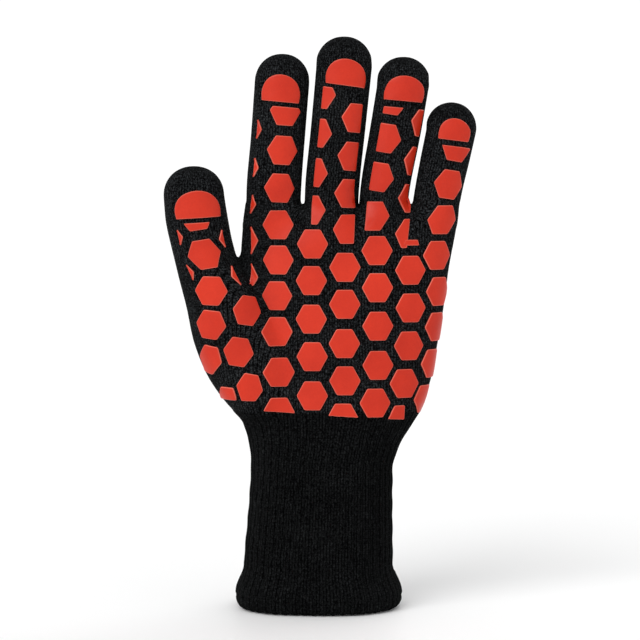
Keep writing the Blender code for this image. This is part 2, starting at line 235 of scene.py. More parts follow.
def finger_form(centres, widths, depth, tip):
    """A finger from inside the palm to its round tip.

    Centres are at the root, at the crotch and below the tip. Widths are at the crotch, half way
    and below the tip.
    """
    start = tip - widths[-1] * 0.54
    root, crotch, end = centres
    heights = (207.0, 222.0, 240.0, (240.0 + start) / 2, start)
    lines = (root, (root + crotch) / 2, crotch, (crotch + end) / 2, end)
    wide = (widths[0] - 2.4, widths[0] - 0.8, widths[0], widths[1], widths[2])
    deep = (depth - 3.0, depth - 1.0, depth, depth, depth)
    cuts = [(z, x - w / 2, x + w / 2, d, 0.0) for z, x, w, d in zip(heights, lines, wide, deep)]
    lean = atan2(end - crotch, start - 240.0)
    return Form(cuts, FINGER_ROUNDNESS, tip=tip, lean=lean)


FINGERS = {
    "index": finger_form((-27.0, -26.2, -21.5), (31.6, 31.2, 31.5), 27.0, 317.4),
    "middle": finger_form((5.6, 6.9, 13.7), (31.6, 31.8, 32.8), 28.0, 327.2),
    "ring": finger_form((33.6, 37.0, 47.4), (28.8, 30.2, 31.5), 27.0, 315.7),
    "little": finger_form((61.4, 67.6, 74.7), (27.6, 28.6, 29.1), 25.0, 289.9),
}
DIGIT_FORMS = dict(FINGERS, thumb=THUMB)

# ---- small helpers


def link(obj):
    bpy.context.scene.collection.objects.link(obj)
    return obj


def mesh_object(name, vertices, faces):
    mesh = bpy.data.meshes.new(name)
    mesh.from_pydata([tuple(point) for point in vertices], [], faces)
    mesh.validate()
    return link(bpy.data.objects.new(name, mesh))


def read_array(items, name, kind, width=1):
    """One property of all of a mesh's vertices, corners or faces."""
    values = np.zeros(len(items) * width, kind)
    items.foreach_get(name, values)
    return values


def vertex_array(mesh):
    return read_array(mesh.vertices, "co", np.float32, 3).reshape(-1, 3).astype(float)


def write_edge(mesh, values):
    """Stores how near each vertex is to a pad's edge, for the pale rim of the print:
    partly worn silicone, partly a painted highlight on the bevel.
    """
    mesh.attributes.new("edge", "FLOAT", "POINT").data.foreach_set("value", values)


def grid_faces(rows, columns, closed):
    """Quads between rows of points; closed joins each row's last point to its first."""
    faces = []
    last = columns if closed else columns - 1
    for row in range(rows - 1):
        for column in range(last):
            after = (column + 1) % columns
            faces.append((row * columns + column, row * columns + after,
                          (row + 1) * columns + after, (row + 1) * columns + column))
    return faces


# ---- knitted hand

# How far each finger is moved aside during the remesh, and over which heights that grows.
SPREAD = {"index": -7.0, "middle": -2.4, "ring": 2.4, "little": 7.0}
SPREAD_HEIGHTS = (219.0, 233.0)
SPREAD_WIDTHS = (205.0, 260.0)     # heights between which the fingers' widths count
VOXEL = 1.15 * MM
SMOOTHING = 9
LOFT_SIDES = 96
GROOVE_DEPTH = 3.6
GROOVE_WIDTH = 3.4
GROOVE_END = 208.0
ROOT = 207.0               # lowest height at which the gaps between the fingers are measured


def spread_shift(x, z, direction):
    """Moves points between the true hand and one with its fingers spread apart.

    Spreading keeps close fingers from growing together in the remesh.
    """
    share = smooth_step(z, *SPREAD_HEIGHTS)
    knots = []
    for name in FINGER_NAMES:
        centre = FINGERS[name].at(z)[0]
        half_width = FINGERS[name].at(np.clip(z, *SPREAD_WIDTHS))[2]
        amount = SPREAD[name] * share
        offset = amount if direction < 0 else 0.0
        knots.append((centre - half_width * 0.97 + offset, amount))
        knots.append((centre + half_width * 0.97 + offset, amount))
    shift = knots[0][1].copy()
    for (low, low_amount), (high, high_amount) in zip(knots, knots[1:]):
        t = np.clip((x - low) / np.maximum(high - low, 0.01), 0, 1)
        shift = np.where(x >= low, low_amount + (high_amount - low_amount) * t, shift)
    return x + direction * shift


def loft_form(form, low, high, rows):
    """Closed solid of a form between two heights, as points in millimetres and faces."""
    if form.tip:
        body = np.linspace(low, form.z[-1], rows, endpoint=False)
        rise = np.sin(np.linspace(0, pi / 2, 16))[:-1]
        levels = np.concatenate([body, form.z[-1] + (form.tip - form.z[-1]) * rise])
    else:
        levels = np.linspace(low, high, rows)
    angles = np.linspace(0, 2 * pi, LOFT_SIDES, endpoint=False)
    z, angle = np.meshgrid(levels, angles, indexing="ij")
    points = form.points(z, angle).reshape(-1, 3)
    faces = grid_faces(len(levels), LOFT_SIDES, True)
    faces.append(tuple(reversed(range(LOFT_SIDES))))
    top = (len(levels) - 1) * LOFT_SIDES
    faces.append(tuple(range(top, top + LOFT_SIDES)))
    return points, faces


def knitted_hand():
    """The skin of the hand from the wrist up, as one mesh in metres."""
    vertices = []
    faces = []
    solids = [(PALM, 92.0, 232.0, 60), (THUMB, 98.0, None, 50)]
    solids += [(FINGERS[name], 205.0, None, 40) for name in FINGER_NAMES]
    for number, (form, low, high, rows) in enumerate(solids):
        points, quads = loft_form(form, low, high, rows)
        if number == 0:
            points[:, 0] = spread_shift(points[:, 0], points[:, 2], 1)
        elif number > 1:
            name = FINGER_NAMES[number - 2]
            points[:, 0] += SPREAD[name] * smooth_step(points[:, 2], *SPREAD_HEIGHTS)
        start = len(vertices)
        vertices += list(points * MM)
        faces += [tuple(index + start for index in face) for face in quads]
    obj = mesh_object("hand_form", vertices, faces)
    remesh = obj.modifiers.new("remesh", "REMESH")
    remesh.mode = "VOXEL"
    remesh.voxel_size = VOXEL
    smooth = obj.modifiers.new("smooth", "SMOOTH")
    smooth.factor = 0.5
    smooth.iterations = SMOOTHING
    graph = bpy.context.evaluated_depsgraph_get()
    mesh = bpy.data.meshes.new_from_object(obj.evaluated_get(graph))
    bpy.data.objects.remove(obj)
    points = vertex_array(mesh) / MM
    thumb_side = points[:, 0] < thumb_border(points[:, 2])
    moved = spread_shift(points[:, 0], points[:, 2], -1)
    points[:, 0] = np.where(thumb_side, points[:, 0], moved)
    points = press_grooves(points)
    mesh.vertices.foreach_set("co", (points * MM).astype(np.float32).ravel())
    mesh.update()
    return mesh


def gap_middle(left, right, z):
    """X half way between two neighbouring fingers."""
    first, _, first_half, _ = FINGERS[left].at(z)
    second, _, second_half, _ = FINGERS[right].at(z)
    return (first + first_half + second - second_half) / 2


def press_grooves(points):
    """The valleys that run down the palm and the back below the gaps between the fingers."""
    x, y, z = points.T
    depth = GROOVE_DEPTH * smooth_step(z, GROOVE_END, CROTCH - 2.0)
    depth = np.where(z < CROTCH + 1.5, depth, 0.0)
    for left, right in zip(FINGER_NAMES, FINGER_NAMES[1:]):
        border = gap_middle(left, right, np.clip(z, ROOT, 240.0))
        share = np.exp(-((x - border) / GROOVE_WIDTH) ** 2)
        y = y - np.sign(y) * np.minimum(depth * share, np.abs(y) * 0.8)
    return np.stack([x, y, z], axis=-1)


def thumb_border(z):
    """X between the thumb and the index finger's side of the palm."""
    return -47.5 - 0.06 * (np.asarray(z) - THUMB_CROTCH)


# ---- cutting between the folds

SHELL_BOTTOM = 112.4       # below this the cuff's ribs take over
FINGER_CUT = CROTCH + 1.6
THUMB_CUT = THUMB_CROTCH + 2.0
BORDER_HEIGHTS = np.arange(200.0, 340.0, 1.0)
# X half way between neighbouring fingers, for every height above the palm.
BORDERS = np.array([gap_middle(left, right, np.maximum(BORDER_HEIGHTS, ROOT))
                    for left, right in zip(FINGER_NAMES, FINGER_NAMES[1:])])


def digit_at(x, z):
    """Name of the digit that a point above the palm belongs to, or None."""
    if z > THUMB_CUT and x < thumb_border(z):
        return "thumb"
    if z < FINGER_CUT:
        return None
    level = min(int(z - BORDER_HEIGHTS[0]), len(BORDER_HEIGHTS) - 1)
    return FINGER_NAMES[int((x > BORDERS[:, level]).sum())]


# Heights at which a digit is cut: at its root, and half way between its folds.
CUTS = {digit: [THUMB_CUT if digit == "thumb" else FINGER_CUT]
        + [(low + high) / 2 for low, high in zip(FOLDS[digit], FOLDS[digit][1:])]
        for digit in DIGITS}


def slice_mesh(bm):
    """Adds edges along every cut, each only through its own digit."""
    for digit in DIGITS:
        for height in CUTS[digit]:
            near = []
            for face in bm.faces:
                if abs(face.verts[0].co.z / MM - height) > 6.0:
                    continue
                centre = face.calc_center_median() / MM
                if digit_at(centre.x, max(centre.z, height + 0.5)) == digit:
                    near.append(face)
            edges = {edge for face in near for edge in face.edges}
            verts = {vert for face in near for vert in face.verts}
            bmesh.ops.bisect_plane(bm, geom=near + list(edges) + list(verts), dist=1e-7,
                                   plane_co=(0, 0, height * MM), plane_no=(0, 0, 1))


def stretch_of(x, z):
    """The piece that a face belongs to: palm, or a digit and the number of its stretch."""
    digit = digit_at(x, z)
    if not digit:
        return ("palm", 0)
    passed = sum(z > height for height in CUTS[digit])
    return (digit, passed - 1) if passed else ("palm", 0)


def split_in_stretches(mesh, prefix, bottom=0.0):
    """Cuts a mesh at every cut height and returns one object for each stretch above a height."""
    bm = bmesh.new()
    bm.from_mesh(mesh)
    shade = bm.verts.layers.float.get("edge")
    slice_mesh(bm)
    bm.normal_update()
    bm.verts.index_update()
    groups = {}
    for face in bm.faces:
        centre = face.calc_center_median() / MM
        if centre.z < bottom:
            continue
        groups.setdefault(stretch_of(centre.x, centre.z), []).append(face)
    bm.verts.ensure_lookup_table()
    objects = {}
    for key, faces in sorted(groups.items()):
        numbers = {}
        for face in faces:
            for vert in face.verts:
                numbers.setdefault(vert.index, len(numbers))
        verts = [bm.verts[index] for index in numbers]
        obj = mesh_object(f"{stem_of(key)}_{prefix}", [vert.co for vert in verts],
                          [[numbers[vert.index] for vert in face.verts] for face in faces])
        obj.data.shade_smooth()
        obj.data.normals_split_custom_set_from_vertices([tuple(vert.normal) for vert in verts])
        objects[key] = obj
        if shade:
            write_edge(obj.data, [vert[shade] for vert in verts])
    bm.free()
    return objects


def stretch_name(digit, number):
    names = ("base", "tip") if digit == "thumb" else ("base", "mid", "tip")
    return names[number]


def stem_of(key):
    """What the names of a stretch's pieces and nodes begin with."""
    digit, number = key
    return "palm" if digit == "palm" else f"{digit}_{stretch_name(digit, number)}"


def fix_to_bodies(obj, key):
    """Attaches a palm piece to the palm's body; any other stretch only gets its placing baked into
    its mesh.
    """
    digit, number = key
    if digit == "palm":
        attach(obj, "palm")
        return
    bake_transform(obj)


# ---- stitches

WALE = 1.6                 # width of one column of stitches, millimetres
COURSE = 1.3               # height of one row of stitches
ARC_STEPS = 40


def arc_from(form, angle, z, start):
    """Length along a level cut from one angle to another, in millimetres."""
    _, _, half_width, half_depth = form.at(z)
    total = np.zeros_like(angle)
    before = None
    for step in range(ARC_STEPS + 1):
        here = start + (angle - start) * step / ARC_STEPS
        x = half_width * signed_power(np.cos(here), 2 / form.roundness)
        y = half_depth * signed_power(np.sin(here), 2 / form.roundness)
        if before is not None:
            total += np.hypot(x - before[0], y - before[1])
        before = (x, y)
    return total * np.sign(angle - start)


def stitch_places(points, digit):
    """Wale and course numbers of points in millimetres, and the number of wales all round."""
    x, y, z = points.T
    form = DIGIT_FORMS.get(digit, HAND)
    angle = form.angle_of(x, y, z)
    behind = pi / 2 if digit in DIGIT_FORMS else pi
    angle = np.mod(angle - behind, 2 * pi) + behind - 2 * pi
    along = arc_from(form, angle, z, -pi / 2)
    round_once = arc_from(form, np.full_like(angle, 1.5 * pi), z, -pi / 2)
    if digit not in DIGIT_FORMS:
        along = along + form.at(z)[0]
    up = z
    if form.tip:
        dome = form.tip - form.z[-1]
        rise = np.clip((z - form.z[-1]) / dome, 0, 0.999)
        up = np.where(z > form.z[-1], form.z[-1] + dome * np.arcsin(rise), z)
        shrink = np.maximum(form.at(z)[2], 0.5) / form.at(np.full_like(z, form.z[-1]))[2]
        along, round_once = (value / np.maximum(shrink, 0.05) for value in (along, round_once))
    return along / WALE, up / COURSE, round_once / WALE


def add_stitches(obj, digit):
    """Writes each corner's wale and course as the piece's UV map."""
    mesh = obj.data
    points = vertex_array(mesh) / MM
    wale, course, around = stitch_places(points, digit)
    corners = read_array(mesh.loops, "vertex_index", np.int64)
    starts = read_array(mesh.polygons, "loop_start", np.int64)
    sizes = read_array(mesh.polygons, "loop_total", np.int64)
    first = np.repeat(corners[starts], sizes)
    u = wale[corners]
    turn = np.maximum(around[corners], 0.5)
    u = u - np.round((u - wale[first]) / turn) * turn
    layer = mesh.uv_layers.new(name="stitches")
    values = np.stack([u, course[corners]], axis=-1).astype(np.float32)
    layer.data.foreach_set("uv", values.ravel())


# ---- materials


class Nodes:
    """Short ways to add shader nodes to a material or a world."""

    def __init__(self, name, kind=bpy.data.materials):
        self.owner = kind.new(name)
        self.owner.use_nodes = True
        self.tree = self.owner.node_tree
        self.shader = self.tree.nodes.get("Principled BSDF") or self.tree.nodes["Background"]

    def put(self, value, socket):
        """Sets a socket to a number or a colour, or links another node's output to it."""
        if isinstance(value, bpy.types.NodeSocket):
            self.tree.links.new(value, socket)
        else:
            socket.default_value = value

    def new(self, kind, inputs=(), **settings):
        node = self.tree.nodes.new(kind)
        for key, value in settings.items():
            setattr(node, key, value)
        for key, value in dict(inputs).items():
            self.put(value, node.inputs[key])
        return node

    def math(self, operation, *values):
        return self.new("ShaderNodeMath", enumerate(values), operation=operation).outputs[0]

    def add(self, first, second):
        return self.math("ADD", first, second)

    def times(self, first, second):
        return self.math("MULTIPLY", first, second)

    def minus(self, first, second):
        return self.math("SUBTRACT", first, second)

    def noise(self, where, scale, detail, roughness):
        inputs = {"Vector": where, "Scale": scale, "Detail": detail, "Roughness": roughness}
        return self.new("ShaderNodeTexNoise", inputs).outputs["Fac"]

    def ramp(self, factor, stops):
        node = self.new("ShaderNodeValToRGB", {"Fac": factor})
        elements = node.color_ramp.elements
        while len(elements) < len(stops):
            elements.new(0.5)
        for element, (position, colour) in zip(elements, stops):
            element.position = position
            element.color = (*colour, 1.0)
        return node.outputs["Color"]

    def bump(self, height, strength, distance):
        inputs = {"Height": height, "Strength": strength, "Distance": distance}
        return self.new("ShaderNodeBump", inputs).outputs["Normal"]

    def place(self, kind="Object"):
        return self.new("ShaderNodeTexCoord").outputs[kind]

    def split(self, vector):
        return self.new("ShaderNodeSeparateXYZ", {"Vector": vector}).outputs

    def finish(self, inputs):
        """Fills the shader's own sockets and returns the material or the world."""
        for key, value in inputs.items():
            self.put(value, self.shader.inputs[key])
        return self.owner


def knit_material(name, dark, light, flecks, sheen):
    """Stockinette: columns of V stitches, from the piece's stitch coordinates."""
    n = Nodes(name)
    middle_tone = tuple(0.32 * value for value in light)
    stitches = n.split(n.new("ShaderNodeUVMap", uv_map="stitches").outputs["UV"])
    wale = n.math("FRACT", stitches["X"])
    side = n.math("ABSOLUTE", n.times(n.minus(wale, 0.5), 2.0))
    slanted = n.add(stitches["Y"], n.times(side, -0.75))
    across = n.math("ABSOLUTE", n.minus(n.math("FRACT", slanted), 0.5))
    thread = n.minus(1.0, n.times(across, 0.9))
    middle = n.math("ABSOLUTE", n.minus(n.times(side, 2.0), 1.0))
    leg = n.minus(1.0, n.times(n.math("POWER", middle, 2.0), 0.35))
    gap = n.minus(1.0, n.times(n.math("POWER", side, 3.0), 0.85))
    stitch = n.times(n.times(thread, leg), gap)
    where = n.place()
    fuzz = n.noise(where, 2600.0, 3.0, 0.7)
    fleck = n.noise(where, 1000.0, 2.0, 0.6)
    cloud = n.noise(where, 42.0, 3.0, 0.55)
    height = n.add(stitch, n.times(fuzz, 0.25))
    # The colour follows the stitches' relief: painted shade in the gaps between the yarn's legs and
    # a painted highlight on their crests. Fuzz, flecks and cloud vary the tone at random.
    shade = n.add(n.times(stitch, 0.60), n.times(fuzz, 0.12))
    shade = n.add(shade, n.times(n.minus(fleck, 0.5), flecks))
    shade = n.add(shade, n.times(n.minus(cloud, 0.5), 0.30))
    colour = n.ramp(shade, ((0.20, dark), (0.60, middle_tone), (1.0, light)))
    return n.finish({"Base Color": colour, "Normal": n.bump(height, 0.9, 0.0012),
                     "Roughness": 0.85, "Specular IOR Level": 0.02,
                     "Sheen Weight": sheen, "Sheen Roughness": 0.45})


def silicone_material():
    """Cured silicone print: satin red, faintly uneven, a little paler along each pad's edge, which
    is partly worn silicone and partly a painted highlight on the bevel.
    """
    n = Nodes("red_silicone")
    where = n.place()
    cloud = n.noise(where, 30.0, 3.0, 0.6)
    grain = n.noise(where, 900.0, 3.0, 0.6)
    waves = n.noise(where, 240.0, 2.0, 0.5)
    mixed = n.add(n.times(cloud, 0.75), n.times(grain, 0.25))
    colour = n.ramp(mixed, ((0.25, (0.42, 0.015, 0.004)), (0.75, (0.60, 0.030, 0.009))))
    # Pale rim on the pads' edges: partly worn silicone, partly a painted highlight where the bevel
    # catches the light.
    edge = n.new("ShaderNodeAttribute", attribute_name="edge").outputs["Fac"]
    wear_and_painted_highlight = n.times(n.math("POWER", edge, 2.0), n.add(cloud, 0.05))
    mix = n.new("ShaderNodeMix", {"B": (0.80, 0.20, 0.14, 1.0), "Factor": wear_and_painted_highlight, "A": colour},
                data_type="RGBA")
    height = n.add(n.times(waves, 0.7), n.times(grain, 0.3))
    return n.finish({"Base Color": mix.outputs["Result"], "Normal": n.bump(height, 0.35, 0.0002),
                     "Roughness": n.add(n.times(cloud, 0.16), 0.30),
                     "Specular IOR Level": 0.22})


def liner_material():
    """Natural cotton jersey, seen inside the cuff."""
    n = Nodes("cotton_liner")
    where = n.place()
    rows = n.math("SINE", n.times(n.split(where)["Z"], 2 * pi / 0.0012))
    fuzz = n.noise(where, 1800.0, 3.0, 0.7)
    cloud = n.noise(where, 60.0, 2.0, 0.5)
    shade = n.add(n.times(rows, 0.12), n.times(fuzz, 0.5))
    shade = n.add(shade, n.times(cloud, 0.4))
    colour = n.ramp(shade, ((0.15, (0.36, 0.34, 0.30)), (0.85, (0.62, 0.60, 0.54))))
    return n.finish({"Base Color": colour, "Normal": n.bump(shade, 0.6, 0.0003),
                     "Roughness": 0.92, "Sheen Weight": 0.15})


def dress(obj, look):
    """Gives a piece its material."""
    obj.data.materials.clear()
    obj.data.materials.append(look)


# ---- ribbed cuff and hem

RIBS = 46
POINTS_PER_RIB = 10
WALES_PER_RIB = 3
RIB_HEIGHT = 0.95
CUFF_BOTTOM = 18.0
CUFF_TOP = 116.5
CUFF_ROW = 1.4
RIBS_FADE = 108.0          # from here up to the top the ribs get shallow
MEET_HAND = (96.0, 114.0)  # between these heights the cuff grows on to the hand's surface
OVER_HAND = 0.7
TUCK = 1.3                 # how far the top dips under the hand's surface
HEM_LEVEL = 8.0            # the hem runs round the cuff's form at this height


def rib_profile(angle):
    """Height of the ribs, from 0 in a groove to 1 on a crest, with broad crests."""
    wave = 0.5 + 0.5 * np.cos(angle * RIBS)
    return wave ** 0.62


def even_angles(form, z, count):
    """Angles that share a level cut into equal lengths."""
    fine = np.linspace(-pi, pi, 1441)
    lengths = arc_from(form, fine, np.full_like(fine, z), -pi)
    wanted = np.linspace(0, lengths[-1], count, endpoint=False)
    return np.interp(wanted, lengths, fine)


def outward_at(points, z):
    """Directions in X and Y that lead away from the cuff's form at a height."""
    centre, _, half_width, half_depth = CUFF.at(z)
    outward = (points[:, :2] - (centre, 0.0)) / (half_width, half_depth)
    return outward / np.linalg.norm(outward, axis=1, keepdims=True)


def sweep(name, rows, courses, inside_out=False):
    """A ribbed piece from rows of points round the cuff, with its stitches."""
    grid = np.array(rows)
    columns = grid.shape[1]
    faces = grid_faces(len(rows), columns, True)
    if inside_out:
        faces = [tuple(reversed(face)) for face in faces]
    obj = mesh_object(name, grid.reshape(-1, 3) * MM, faces)
    mesh = obj.data
    mesh.shade_smooth()
    layer = mesh.uv_layers.new(name="stitches")
    for polygon in mesh.polygons:
        corners = polygon.loop_indices
        places = [divmod(mesh.loops[corner].vertex_index, columns) for corner in corners]
        closes = {0, columns - 1} <= {column for _, column in places}
        for corner, (row, column) in zip(corners, places):
            turn = 1.0 if closes and column == 0 else column / columns
            layer.data[corner].uv = (RIBS * WALES_PER_RIB * turn, courses[row])
    return obj


def cuff_surface(hand_tree):
    """The ribbed tube from the hem to the print."""
    columns = RIBS * POINTS_PER_RIB
    levels = np.arange(CUFF_BOTTOM, CUFF_TOP + CUFF_ROW / 2, CUFF_ROW)
    share = np.linspace(-pi, pi, columns, endpoint=False)
    rows = []
    for z in levels:
        angles = even_angles(CUFF, z, columns)
        fade = 1 - smooth_step(z, RIBS_FADE, CUFF_TOP)
        swell = 0.15 * np.sin(z * 0.45 + share * 3)
        grow = RIB_HEIGHT * (0.25 + 0.75 * fade) * (rib_profile(share) - 1) + swell * fade
        grow = grow - TUCK * smooth_step(z, CUFF_TOP - 3.6, CUFF_TOP)
        points = CUFF.points(np.full_like(angles, z), angles)
        outward = outward_at(points, z)
        follow = smooth_step(z, *MEET_HAND)
        if follow > 0:
            for column in range(columns):
                way = Vector((outward[column, 0], outward[column, 1], 0)).normalized()
                origin = Vector(points[column]) * MM + way * 15 * MM
                hit = hand_tree.ray_cast(origin, -way, 30 * MM)[0]
                if hit:
                    found = np.array(hit) / MM + np.array(way) * OVER_HAND
                    points[column] += (found - points[column]) * follow
        points[:, :2] += outward * grow[:, None]
        rows.append(points)
    return sweep("ribbed_cuff", rows, levels / COURSE)


# The hem's section, from the cuff down, round the roll and up inside: outwards and height.
HEM_OUTLINE = (
    (-0.5, 25.0), (0.35, 21.5), (1.5, 18.2), (3.1, 14.8), (4.5, 11.2), (5.0, 8.4), (4.5, 6.6),
    (4.75, 5.0), (4.3, 2.9), (2.8, 1.2), (0.5, 0.35), (-1.6, 0.9), (-3.2, 3.2), (-3.9, 7.0),
    (-3.9, 12.0),
)
HEM_ROWS = 43


def hem_surface():
    """The rolled edge of the cuff: the ribs run down, over the roll and up inside."""
    columns = RIBS * POINTS_PER_RIB
    outline = np.array(HEM_OUTLINE)
    steps = np.linspace(0, len(outline) - 1, HEM_ROWS)
    numbers = np.arange(len(outline))
    out = curve_through(steps, numbers, outline[:, 0])
    up = curve_through(steps, numbers, outline[:, 1])
    lengths = np.concatenate([[0], np.cumsum(np.hypot(np.diff(out), np.diff(up)))])
    facing = np.stack([-np.gradient(up), np.gradient(out)])
    facing = facing / np.hypot(*facing)
    share = np.linspace(-pi, pi, columns, endpoint=False)
    angles = even_angles(CUFF, HEM_LEVEL, columns)
    ring = CUFF.points(np.full_like(angles, HEM_LEVEL), angles)
    outward = outward_at(ring, HEM_LEVEL)
    rib = RIB_HEIGHT * 0.8 * (rib_profile(share) - 1)
    wobble = 0.35 * np.sin(share * 5 + 1.0) + 0.2 * np.sin(share * 11)
    rows = []
    for step in range(HEM_ROWS):
        points = ring.copy()
        away = out[step] + rib * facing[0, step] + wobble * (out[step] > 1)
        points[:, :2] += outward * away[:, None]
        points[:, 2] = np.maximum(up[step] + rib * facing[1, step], 0.05)
        rows.append(points)
    return sweep("rolled_hem", rows, -lengths / COURSE, inside_out=True)


LINER_SIDES = 120
LINER_INSIDE = 3.3         # the liner lies this far inside the knit's outer face
LINER_DEEPER = 1.4         # and this much more inside the palm
LINER_MEETS_PALM = 98.0    # it follows the cuff's form below this, and the palm's above


def liner_surface():
    """The cotton lining of cuff and palm, closed over at the fingers."""
    levels = np.concatenate([np.linspace(4.0, 100.0, 41), np.linspace(104.0, 206.0, 30)])
    angles = np.linspace(-pi, pi, LINER_SIDES, endpoint=False)
    rows = []
    for z in levels:
        form = CUFF if z < LINER_MEETS_PALM else PALM
        inside = LINER_INSIDE + LINER_DEEPER * float(smooth_step(z, 90.0, 125.0))
        rows.append(form.points(np.full_like(angles, z), angles, grow=-inside))
    grid = np.array(rows)
    faces = grid_faces(len(levels), LINER_SIDES, True)
    top = (len(levels) - 1) * LINER_SIDES
    faces.append(tuple(range(top, top + LINER_SIDES)))
    obj = mesh_object("cotton_lining", grid.reshape(-1, 3) * MM, faces)
    obj.data.shade_smooth()
    return obj


# ---- silicone print

PAD_RISE = 0.85            # height of the print above the knit, millimetres
PAD_SINK = 0.9
PAD_FLATS = 16.3           # across the flats of a hexagon
PAD_POINTS = 17.9          # from its left to its right corner
PAD_CORNER = 0.9
PAD_BEVEL = 0.5
PAD_LEAN = 0.85            # the pads lean a little less than their digit
SMALLEST_PAD = 4.0         # square millimetres
SPANNED = 0.3              # a pad bridges folds of the knit up to this depth
STRAY = 3.0                # a ray that lands this far off a pad's own face has missed
IN_FRONT = -12.0           # Y of the plane that the fingers' lowest pads are laid from
FIT_LIMITS = (1.2, 0.6)    # what a pad's face leaves out when it is fitted, in two rounds


def hexagon(x, z, turn=0.0):
    """Corners of a hexagon with points to the left and right."""
    across, high = PAD_POINTS / 2, PAD_FLATS / 2
    c, s = cos(radians(turn)), sin(radians(turn))
    corners = ((across, 0), (across / 2, high), (-across / 2, high),
               (-across, 0), (-across / 2, -high), (across / 2, -high))
    return [(x + a * c - b * s, z + a * s + b * c) for a, b in corners]


def clip(polygon, keep):
    """What is left of a convex polygon on the kept side of each line (a, b, c): ax + bz < c."""
    for a, b, c in keep:
        cut = []
        for here, after in zip(polygon, polygon[1:] + polygon[:1]):
            inside = c - a * here[0] - b * here[1]
            next_inside = c - a * after[0] - b * after[1]
            if inside >= 0:
                cut.append(here)
            if inside * next_inside < 0:
                t = inside / (inside - next_inside)
                cut.append((here[0] + (after[0] - here[0]) * t, here[1] + (after[1] - here[1]) * t))
        polygon = cut
    return polygon


def area(polygon):
    """Area of a flat outline, positive when it runs anticlockwise."""
    total = 0.0
    for (x0, z0), (x1, z1) in zip(polygon, polygon[1:] + polygon[:1]):
        total += x0 * z1 - x1 * z0
    return total / 2


def rounded(polygon, radius):
    """Outline of a convex polygon with round corners and points along its sides."""
    outline = []
    count = len(polygon)
    for index in range(count):
        near = (polygon[index - 1], polygon[index], polygon[(index + 1) % count])
        before, here, after = (Vector(corner) for corner in near)
        to_before, to_after = before - here, after - here
        reach = min(radius, to_before.length * 0.45, to_after.length * 0.45)
        start = here + to_before.normalized() * reach
        end = here + to_after.normalized() * reach
        for step in range(5):
            t = step / 4
            outline.append(start * (1 - t) ** 2 + here * 2 * t * (1 - t) + end * t ** 2)
        along = (after - to_after.normalized() * min(radius, to_after.length * 0.45)) - end
        pieces = max(1, int(along.length / 1.8))
        for step in range(1, pieces):
            outline.append(end + along * step / pieces)
    return np.array([tuple(point) for point in outline])


def inset(outline, distance):
    """Moves an anticlockwise outline inwards."""
    ahead = np.roll(outline, -1, axis=0)
    behind = np.roll(outline, 1, axis=0)
    along = ahead - behind
    along = along / np.maximum(np.linalg.norm(along, axis=1, keepdims=True), 1e-6)
    inward = np.stack([-along[:, 1], along[:, 0]], axis=1)
    return outline + inward * distance


